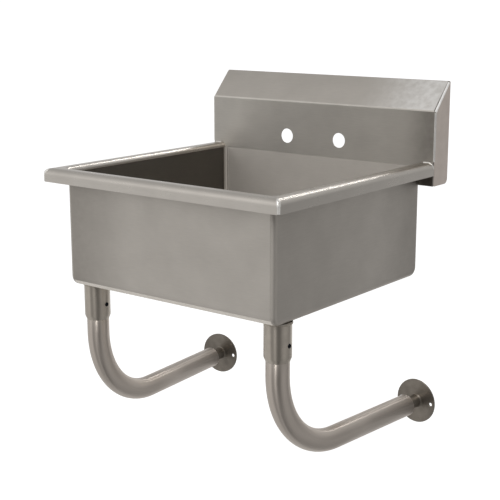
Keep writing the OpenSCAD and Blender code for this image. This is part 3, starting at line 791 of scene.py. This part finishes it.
def round_corner(mesh, label, radius):
    """Cuts the backsplash's front corner back, behind the rounded weld that covers it."""
    crease, ridge = slant_ends(label)
    side = SIDES[label]
    slope = (ridge - crease).normalized()
    corner = Vector((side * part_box("rim_right")[1].x, crease.y, crease.z))
    for front in (Vector((0.0, -1.0, 0.0)), Vector((0.0, -slope.z, slope.y))):
        outward = (front + Vector((side, 0.0, 0.0))).normalized()
        cut_off(mesh, corner - outward * radius * CORNER_CUT, outward)


def round_crease(mesh, width, steps=3):
    """Rounds the bend between the backsplash's face and its slant."""
    crease = slant_ends("left")[0]
    with edited(mesh) as shape:
        bend = [edge for edge in shape.edges
                if all(max(abs(v.co.y - crease.y), abs(v.co.z - crease.z)) < CREASE_REACH
                       for v in edge.verts)]
        bmesh.ops.bevel(shape, geom=bend, offset=width, segments=steps, profile=0.5, affect="EDGES",
                        clamp_overlap=True)


# Places of the upright face's, the slant's and the bend's finishes
UPRIGHT_SLOT, SLANT_SLOT, BEND_SLOT = 2, 3, 4

FACES_FRONT = -0.6  # share of a face's normal towards the wall under which it faces the front
# Rise of a face's normal, up to which it is on the upright face and past which it is on the slant
FACE_RISE, SLANT_RISE = 0.03, 0.40

# How far from the backsplash's right end the face's painted shade and the slant's painted highlight start,
# and are full
FACE_PAINTED_SHADE = (75 * MM, 5 * MM)
SLANT_PAINTED_HIGHLIGHT = (190 * MM, 10 * MM)


class SINK_OT_backsplash(bpy.types.Operator):
    """Backsplash: the folded panel and its two end caps"""

    bl_idname = "sink.backsplash"
    bl_label = "Backsplash"

    def execute(self, context):
        sizes, colours = settings(context)
        radius = sizes.corner_weld / 2

        def shape_panel(mesh):
            round_crease(mesh, sizes.crease)
            for label in SIDES:
                round_corner(mesh, label, radius)

        painted_shade, bright = [[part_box("splash_panel")[1].x - reach for reach in part]
                        for part in (FACE_PAINTED_SHADE, SLANT_PAINTED_HIGHLIGHT)]
        # Painted shade: the splash face darkens towards its right end.
        satin = finish("satin_304_splash", brushed_sheet, colours.splash, 0, gloss=(0.54, 0.60), pull=0.9,
                       zone={"axis": 0, "start": painted_shade[0], "end": painted_shade[1], "share": 0.75, "even": 0.8,
                             "colour": colours.painted_shade})
        # Painted highlight: the slant brightens towards its right end.
        slant = finish("brushed_304_slant", brushed_sheet, colours.sheet, 0,
                       zone={"axis": 0, "start": bright[0], "end": bright[1], "share": 0.85, "even": 0.5,
                             "colour": colours.bright})
        # The bend is rounded, and its lighter colour is a painted highlight.
        bend = finish("polished_304_crease", brushed_sheet, colours.crease, 0)
        panel = dress("splash_panel_sheet", "splash_panel", sheet_finishes(colours, 0) + [satin, slant, bend],
                      sizes.sheet_edge, shape_panel)
        for face in panel.data.polygons:
            if face.material_index == FACE_SLOT and face.normal.y < FACES_FRONT:
                rise = face.normal.z
                face.material_index = (UPRIGHT_SLOT if rise < FACE_RISE else
                                       SLANT_SLOT if rise > SLANT_RISE else BEND_SLOT)
        dressed = finish("dressed_cap", dressed_weld, colours.cap)
        for label in SIDES:
            node = "splash_end_" + label
            dress(node + "_sheet", node, [dressed, eased_edge(colours)], sizes.sheet_edge,
                  lambda mesh: round_corner(mesh, label, radius))
        return {"FINISHED"}


# Shares of a weld's radius that its middle lies inside the rim, at the flat, halfway round the roll and
# at the lip, for the mitre's weld and the weld at the backsplash
MITRE_INSETS = (1.0, 0.82, 1.0)
FILLET_INSETS = (0.3, 0.5, 1.0)
FILLET_BACK = 0.4  # share of its radius that the fillet weld's middle lies inside the rim's end
FILLET_FLAT = (10 * MM, 4 * MM)  # how far inside the roll two points of the fillet weld's flat part lie
CORNER_FOOT = 2 * MM  # height over the rims where the backsplash's corner weld starts
SLANT_SHORT = 2.4 * MM  # how far the slant's weld ends short of the top edge, to clear the wall
SEAM_FOOT = 22 * MM  # height over the bowl's lowest place where its back seam ends
SEAM_PROUD = 0.1 * MM  # how far the middle of the back seam stands before the backsplash
SEAM_SHARE = 0.25  # width of the back seam, as a share of the corner weld's
RING_OUT, RING_DOWN = 0.1, 0.12  # shares of its width that a socket's weld is outside it and under its top
RING_STEPS = 72

DRESSED_RIPPLE, FILLET_RIPPLE, RAW_RIPPLE = 0.02, 0.04, 0.12
WELD_MATE = "leg_socket_left"  # the node whose body every weld rides with


def rim_section(sizes, half, shares):
    """The rims' outer surface as (outward from the middle, height) points, from the flat over the roll to
    the end of the lip, moved into the sheet by shares of a weld's half width."""
    low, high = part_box("rim_right")
    centre_x, centre_z = high.x - sizes.rim_roll, high.z - sizes.rim_roll
    insets = [half * share for share in shares]
    steps = 16
    points = []
    for step in range(steps + 1):
        turn = math.pi / 2 * (1 - step / steps)
        leg = min(step * 2 // steps, 1)
        inset = insets[leg] + (insets[leg + 1] - insets[leg]) * (step * 2 / steps - leg)
        reach = sizes.rim_roll - inset
        points.append((centre_x + reach * math.cos(turn), centre_z + reach * math.sin(turn)))
    points.append((high.x - insets[2], low.z + insets[2] / 4))
    return points


def corner_line(label, inset, start):
    """The middle of the rounded weld along the backsplash's front corner, from a height up to just short
    of the wall, at an inset from the end cap and from the faces in front."""
    crease, ridge = slant_ends(label)
    slope = (ridge - crease).normalized()
    outward = Vector((0.0, -slope.z, slope.y))
    bend = crease + Vector((0.0, inset, inset * (1 - slope.z) / slope.y * slope.z - inset * slope.y))
    line = [Vector((0.0, crease.y + inset, start)), bend, ridge - outward * inset - slope * SLANT_SHORT]
    edge = SIDES[label] * (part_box("rim_right")[1].x - inset)
    return [Vector((edge, place.y, place.z)) for place in line]


class SINK_OT_welds(bpy.types.Operator):
    """Welds: the rims' mitres, the joints to the backsplash, and the beads round the leg sockets"""

    bl_idname = "sink.welds"
    bl_label = "Welds"

    def execute(self, context):
        sizes, colours = settings(context)
        bright = finish("brushed_weld_bead", weld_metal, colours.weld, BUFFED_GLOSS, scatter=0.25)
        buffed = finish("buffed_corner_weld", weld_metal, colours.weld, gloss=(0.30, 0.40), scatter=0.12)
        # Painted highlight: the welds up the slant's corners are near white, with a large share of even
        # scatter, so that they show as a bright line.
        crest = finish("bright_slant_weld", weld_metal, colours.bright, BUFFED_GLOSS, scatter=0.6)
        raw = finish("raw_weld_bead", weld_metal, colours.raw_weld, gloss=(0.3, 0.5))
        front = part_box("rim_front")[0].y
        outer, back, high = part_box("rim_right")[1]
        seam_x, seam_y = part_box("bowl_wrap")[1].x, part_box("splash_panel")[0].y - SEAM_PROUD
        seam_ends = high - sizes.rim_bend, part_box("bowl_wrap")[0].z + SEAM_FOOT
        for label, side in SIDES.items():
            mitre = [Vector((side * x, front + outer - x, z))
                     for x, z in rim_section(sizes, sizes.mitre_weld / 2, MITRE_INSETS)]
            half = sizes.fillet_weld / 2
            inner = outer - sizes.rim_roll
            section = [(inner - x, high - half * FILLET_INSETS[0]) for x in FILLET_FLAT]
            section += rim_section(sizes, half, FILLET_INSETS)
            fillet = [Vector((side * x, back - half * FILLET_BACK, z)) for x, z in section]
            corner = corner_line(label, sizes.corner_weld / 2, high + CORNER_FOOT)
            seam = [Vector((side * seam_x, seam_y, z)) for z in seam_ends]
            centre = middle("leg_socket_" + label)
            low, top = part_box("leg_socket_" + label)
            reach = (top.x - low.x) / 2 + sizes.weld_width * RING_OUT
            level = top.z - sizes.weld_width * RING_DOWN
            ring = [Vector((centre.x + reach * math.cos(turn), centre.y + reach * math.sin(turn), level))
                    for turn in [math.tau * step / RING_STEPS for step in range(RING_STEPS)]]
            for name, lines, material, width, ripples in (
                    ("rim_mitre", [(mitre, False, 1.0)], bright, sizes.mitre_weld, DRESSED_RIPPLE),
                    ("rim_end", [(fillet, False, 1.0)], bright, sizes.fillet_weld, FILLET_RIPPLE),
                    ("splash_corner", [(corner[:2], False, 1.0), (seam, False, SEAM_SHARE)], buffed,
                     sizes.corner_weld, DRESSED_RIPPLE),
                    ("splash_slant", [(corner[1:], False, 1.0)], crest, sizes.corner_weld, DRESSED_RIPPLE),
                    ("socket", [(ring, True, 1.0)], raw, sizes.weld_width, RAW_RIPPLE)):
                weld_beads(name + "_weld_" + label, lines, material, width, sizes.weld_ripple, ripples)
        return {"FINISHED"}


class SINK_OT_bracket(bpy.types.Operator):
    """Wall bracket: the folded bar that the backsplash hooks over"""

    bl_idname = "sink.bracket"
    bl_label = "Wall bracket"

    def execute(self, context):
        sizes, colours = settings(context)
        zinc = finish("hot_dip_galvanised", galvanised_sheet, colours.bracket)
        dress("wall_bracket_bar", "wall_bracket", [zinc, zinc], sizes.sheet_edge)
        return {"FINISHED"}


class SINK_OT_sockets(bpy.types.Operator):
    """Leg sockets: the plates under the bowl, the turned sockets and their set screws"""

    bl_idname = "sink.sockets"
    bl_label = "Leg sockets"

    def execute(self, context):
        sizes, colours = settings(context)
        oxide = finish("black_oxide", black_oxide, colours.screw)
        worn = finish("worn_screw_edge", weld_metal, colours.worn, gloss=(0.3, 0.45), scatter=0.4)
        for side in SIDES:
            plate, socket, screw = ["{}_{}".format(kind, side)
                                    for kind in ("socket_plate", "leg_socket", "set_screw")]
            turned = finish("turned_socket_" + side, turned_steel, colours.turned, middle(socket), UP)
            for node, ending, materials in ((plate, "_pad", sheet_finishes(colours, 0)),
                                            (socket, "_sleeve", [turned, eased_edge(colours)]),
                                            (screw, "_grub", [oxide, worn])):
                dress(node + ending, node, materials, sizes.turned_edge)
        return {"FINISHED"}


class SINK_OT_supports(bpy.types.Operator):
    """Support tubes: two J-shaped tubes that turn in the leg sockets"""

    bl_idname = "sink.supports"
    bl_label = "Support tubes"

    def execute(self, context):
        sizes, colours = settings(context)
        polish = finish("polished_tube", polished_tube, colours.tube)
        for side in SIDES:
            node = "support_tube_" + side
            leg = middle("leg_socket_" + side)
            along = joint_axis("foot_" + side + "_extend")
            leg_low, leg_high = span_along(node, leg, UP)
            radius = span_along(node, leg, UP.cross(along))[1]
            corner = leg + UP * (leg_low + radius)
            end = corner + along * span_along(node, leg, along)[1]
            source = path_object(node + "_path", [leg + UP * leg_high, corner, end])
            run_tree(source, tree_of(bent_tube_tree), {
                "Bend radius": sizes.bend_radius, "Tube radius": radius, "Finish": polish})
            wall = source.modifiers.new("Wall", "SOLIDIFY")
            wall.thickness = sizes.tube_wall
            wall.offset = 1.0
            place_piece(node + "_bent", facing_out(evaluated_mesh(source)), node, [polish])
        return {"FINISHED"}


class SINK_OT_feet(bpy.types.Operator):
    """Feet: the bushes in the tubes' ends and the flanged feet that slide in them"""

    bl_idname = "sink.feet"
    bl_label = "Flanged feet"

    def execute(self, context):
        sizes, colours = settings(context)
        # Painted shade: the feet and their edges take a darker colour than the other turned steel.
        rim = finish("foot_edge", weld_metal, colours.flange, gloss=(0.3, 0.4))
        for side in SIDES:
            foot, insert = "wall_foot_" + side, "foot_insert_" + side
            along = joint_axis("foot_" + side + "_extend")
            turned = finish("turned_foot_" + side, turned_steel, colours.flange, middle(insert), along,
                            gloss=(0.36, 0.48), deep=0.7, pull=0.75)
            dress(foot + "_turned", foot, [turned, rim], sizes.turned_edge)
            plug = finish("turned_insert_" + side, turned_steel, colours.turned, middle(insert), along)
            dress(insert + "_plug", insert, [plug, eased_edge(colours)], sizes.turned_edge / 4)
        return {"FINISHED"}


THREAD_DEPTH = 0.45  # height of the drain's thread, as a share of its pitch
WALL_READ = 20 * MM  # how far under the locknut the drain body's wall is read
WALL_SLACK = 0.5 * MM  # how far inside the widest place the wall still counts as threaded


def make_thread(sizes, plate):
    """The drain body's thread, where it shows under the locknut."""
    centre = middle("drain_body")
    nut_low, nut_high = [corner.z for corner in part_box("drain_locknut")]
    wall = [(math.hypot(place.x - centre.x, place.y - centre.y), place.z)
            for place in vertex_places("drain_body") if nut_low - WALL_READ < place.z < nut_high]
    radius = max(wall)[0]
    end = min(height for reach, height in wall if reach > radius - WALL_SLACK)
    pitch = sizes.thread_pitch
    source = path_object("drain_thread_path", [centre, centre])
    run_tree(source, tree_of(thread_tree), {
        "Radius": radius, "Pitch": pitch, "Length": nut_low - end - 2 * pitch, "Depth": pitch * THREAD_DEPTH,
        "Start": (centre.x, centre.y, end + pitch), "Finish": plate})
    place_piece("drain_body_thread", facing_out(evaluated_mesh(source)), "drain_body", [plate], False)


def dress_plain(sizes, pieces):
    """Dresses pieces of (name, node, material, share of the turned edge) that are one finish all over."""
    for name, node, material, share in pieces:
        dress(name, node, [material, material], sizes.turned_edge * share)


class SINK_OT_drain(bpy.types.Operator):
    """Drain: the plated body with its thread, the gasket, the friction ring and the locknut"""

    bl_idname = "sink.drain"
    bl_label = "Drain"

    def execute(self, context):
        sizes, colours = settings(context)
        plate = finish("satin_nickel_brass", plated_brass, colours.brass, middle("drain_body"))
        rubber = finish("nitrile_rubber", moulded_rubber, colours.rubber)
        fibre = finish("vulcanised_fibre", pressed_fibre, colours.fibre)
        dress_plain(sizes, (("drain_body_cast", "drain_body", plate, 0.5),
                            ("drain_locknut_cast", "drain_locknut", plate, 1.0)))
        make_thread(sizes, plate)
        dress_plain(sizes, (("drain_gasket_ring", "drain_gasket", rubber, 0.5),
                            ("drain_fibre_ring", "drain_friction_ring", fibre, 0.25)))
        return {"FINISHED"}


class SINK_OT_strainer(bpy.types.Operator):
    """Strainer: the pierced basket, the rubber stopper and the post with its knob"""

    bl_idname = "sink.strainer"
    bl_label = "Strainer"

    def execute(self, context):
        sizes, colours = settings(context)
        centre = middle("strainer_post")
        pressed = finish("pressed_304_basket", turned_steel, colours.sheet, centre, UP, EDGE_GLOSS,
                         deep=0.9)
        rubber = finish("nitrile_rubber", moulded_rubber, colours.rubber)
        knob = finish("turned_304_knob", turned_steel, colours.turned, centre, UP, gloss=(0.14, 0.22),
                      deep=0.9)
        dress_plain(sizes, (("strainer_basket_pressed", "strainer_basket", pressed, 0.25),
                            ("strainer_stopper_seal", "strainer_stopper", rubber, 0.5),
                            ("strainer_post_knob", "strainer_post", knob, 0.5)))
        return {"FINISHED"}


# Brightness of the studio at eye level, by the angle from the sink's right, in degrees
LEVEL_RING = ((-180, 0.62), (-158, 0.62), (-138, 0.66), (-119, 0.66), (-111, 0.34), (-102, 0.29),
              (-93, 0.34), (-84, 0.42), (-76, 0.55), (-68, 0.30), (-57, 0.17), (-39, 0.17), (-30, 0.21),
              (-21, 0.33), (-12, 0.39), (-2, 0.44), (8, 0.48), (19, 0.44), (38, 0.40), (47, 0.28),
              (53, 0.25), (57, 0.37), (61, 0.47), (75, 0.54), (91, 0.84), (110, 0.86), (128, 0.84),
              (150, 0.78), (180, 0.62))

# Brightness of the studio well above the sink
HIGH_RING = ((-180, 0.50), (-152, 0.60), (-138, 0.92), (-116, 0.92), (-104, 0.70), (-80, 0.55), (-60, 0.50),
             (-42, 0.40), (10, 0.30), (42, 0.32), (56, 0.52), (90, 0.50), (120, 0.44), (180, 0.50))

# Narrow lights that draw the sharp lines along the rims and tubes: start, end, width, setting of the
# power, and share of it
STRIPS = {
    "strip_right": ((0.06, 1.9, 1.95), (0.18, 1.9, 0.90), 0.15, "strip_power", 1.0),
    "strip_left": ((-0.84, 1.9, 2.60), (-0.61, 1.9, 1.56), 0.2, "strip_power", 2.0),
    "strip_front": ((0.86, -3.06, 1.12), (0.45, -1.40, 2.72), 0.3, "front_power", 1.0),
}
STRIP_TARGET = Vector((0.0, -0.3, -0.1))
FLOOR_REACH = 150.0


def turned_to(place, along, across, back):
    """The matrix of a light or camera at a place, by its own X, Y and Z directions."""
    return Matrix.Translation(place) @ Matrix((along, across, back)).transposed().to_4x4()


def ring_of_light(tree, turn, levels):
    """Brightness by the turn round the sink, blended between (degrees, level) pairs."""
    ramp = add(tree, "ShaderNodeValToRGB", {"Fac": turn})
    steps = ramp.color_ramp.elements
    for degrees, level in levels[1:-1]:
        steps.new((degrees + 180) / 360)
    for step, (degrees, level) in zip(steps, levels):
        step.color = (level, level, level, 1.0)
    return ramp


def make_floor(colours, level):
    """A pale floor. Metal doesn't mirror it, because the sky's rings hold what metal shows."""
    mesh = bpy.data.meshes.new("studio_floor")
    corners = ((-1, -1), (1, -1), (1, 1), (-1, 1))
    mesh.from_pydata([(x * FLOOR_REACH, y * FLOOR_REACH, level) for x, y in corners], [], [(0, 1, 2, 3)])
    floor = scene_object("studio_floor", mesh)
    material, tree = new_material("pale_paper_floor")
    shader = add(tree, "ShaderNodeBsdfPrincipled", {
        "Base Color": linear(colours.floor, share=0.85), "Roughness": 0.9, "Specular IOR Level": 0.1,
        "Emission Color": (1.0, 1.0, 1.0, 1.0), "Emission Strength": 0.7})
    add(tree, "ShaderNodeOutputMaterial", {"Surface": shader})
    mesh.materials.append(material)
    floor.visible_glossy = False


def make_sky():
    """Soft light all round: one ring of brightness at eye level, and another above it."""
    world = bpy.data.worlds.new("studio_sky")
    bpy.context.scene.world = world
    world.use_nodes = True
    tree = world.node_tree
    tree.nodes.clear()
    x, y, z = add(tree, "ShaderNodeSeparateXYZ", {
        0: add(tree, "ShaderNodeTexCoord").outputs["Generated"]}).outputs
    turn = add(tree, "ShaderNodeMath", {0: y, 1: x}, operation="ARCTAN2")
    turn = add(tree, "ShaderNodeMapRange", {"Value": turn, "From Min": -math.pi, "From Max": math.pi})
    rise = add(tree, "ShaderNodeMapRange", {"Value": z, "From Min": 0.0, "From Max": 0.45},
               interpolation_type="SMOOTHSTEP")
    level, high = [ring_of_light(tree, turn, ring).outputs[0] for ring in (LEVEL_RING, HIGH_RING)]
    light = add(tree, "ShaderNodeMix", {"Factor": rise, 6: level, 7: high}, data_type="RGBA").outputs[2]
    low = add(tree, "ShaderNodeMapRange", {
        "Value": z, "From Min": -0.75, "From Max": -0.2, "To Min": 0.9, "To Max": 1.0},
        interpolation_type="SMOOTHSTEP")
    add(tree, "ShaderNodeOutputWorld", {
        "Surface": add(tree, "ShaderNodeBackground", {"Color": light, "Strength": low})})


def make_strip(name, start, end, width, power):
    """A narrow light between two points, turned towards the rims."""
    start, end = Vector(start), Vector(end)
    light = bpy.data.lights.new(name, "AREA")
    light.shape = "RECTANGLE"
    light.size, light.size_y = (end - start).length, width
    light.energy = power
    centre = (start + end) / 2
    along = (end - start).normalized()
    back = centre - STRIP_TARGET
    back = (back - along * back.dot(along)).normalized()
    scene_object(name, light).matrix_world = turned_to(centre, along, back.cross(along), back)


def make_camera(studio):
    """The camera that took the photo, as its edges place it."""
    camera = bpy.data.cameras.new("photo_camera")
    camera.lens = studio.lens
    camera.sensor_width = 36.0
    camera.clip_end = 1000.0
    turn, rise = studio.azimuth, studio.elevation
    back = Vector((math.sin(turn) * math.cos(rise), -math.cos(turn) * math.cos(rise), math.sin(rise)))
    right = Matrix.Rotation(studio.roll, 3, back) @ Vector((math.cos(turn), math.sin(turn), 0.0))
    view = scene_object("photo_camera", camera)
    view.matrix_world = turned_to(studio.camera_place, right, back.cross(right), back)
    bpy.context.scene.camera = view
    bpy.context.scene.view_settings.view_transform = "Standard"


class SINK_OT_studio(bpy.types.Operator):
    """Studio: the pale floor, the soft lights and the camera"""

    bl_idname = "sink.studio"
    bl_label = "Studio"

    def execute(self, context):
        studio = context.scene.sink_studio
        make_floor(context.scene.sink_colours, studio.floor_level)
        make_sky()
        for name, (start, end, width, power, share) in STRIPS.items():
            make_strip(name, start, end, width, getattr(studio, power) * share)
        make_camera(studio)
        return {"FINISHED"}


STEPS = (SINK_OT_bowl, SINK_OT_rims, SINK_OT_backsplash, SINK_OT_welds, SINK_OT_bracket, SINK_OT_sockets,
         SINK_OT_supports, SINK_OT_feet, SINK_OT_drain, SINK_OT_strainer, SINK_OT_studio)
GROUPS = {"sink_sizes": SinkSizes, "sink_colours": SinkColours, "sink_studio": StudioSettings}


class SINK_PT_panel(bpy.types.Panel):
    """Steps that make the sink, and its settings"""

    bl_idname = "SINK_PT_panel"
    bl_label = "Mop service sink"
    bl_space_type = "VIEW_3D"
    bl_region_type = "UI"
    bl_category = "Sink"

    def draw(self, context):
        for step in STEPS:
            self.layout.operator(step.bl_idname)
        for name in GROUPS:
            group = getattr(context.scene, name)
            box = self.layout.box()
            for label in group.bl_rna.properties.keys():
                if label not in ("rna_type", "name"):
                    box.prop(group, label)


def register():
    for name, group in GROUPS.items():
        bpy.utils.register_class(group)
        setattr(bpy.types.Scene, name, PointerProperty(type=group))
    for step in (*STEPS, SINK_PT_panel):
        bpy.utils.register_class(step)


def unregister():
    for step in (SINK_PT_panel, *reversed(STEPS)):
        bpy.utils.unregister_class(step)
    for name in reversed(GROUPS):
        delattr(bpy.types.Scene, name)
        bpy.utils.unregister_class(GROUPS[name])


def main():
    register()
    for step in STEPS:
        group, name = step.bl_idname.split(".")
        getattr(getattr(bpy.ops, group), name)()


if __name__ == "__main__":
    main()
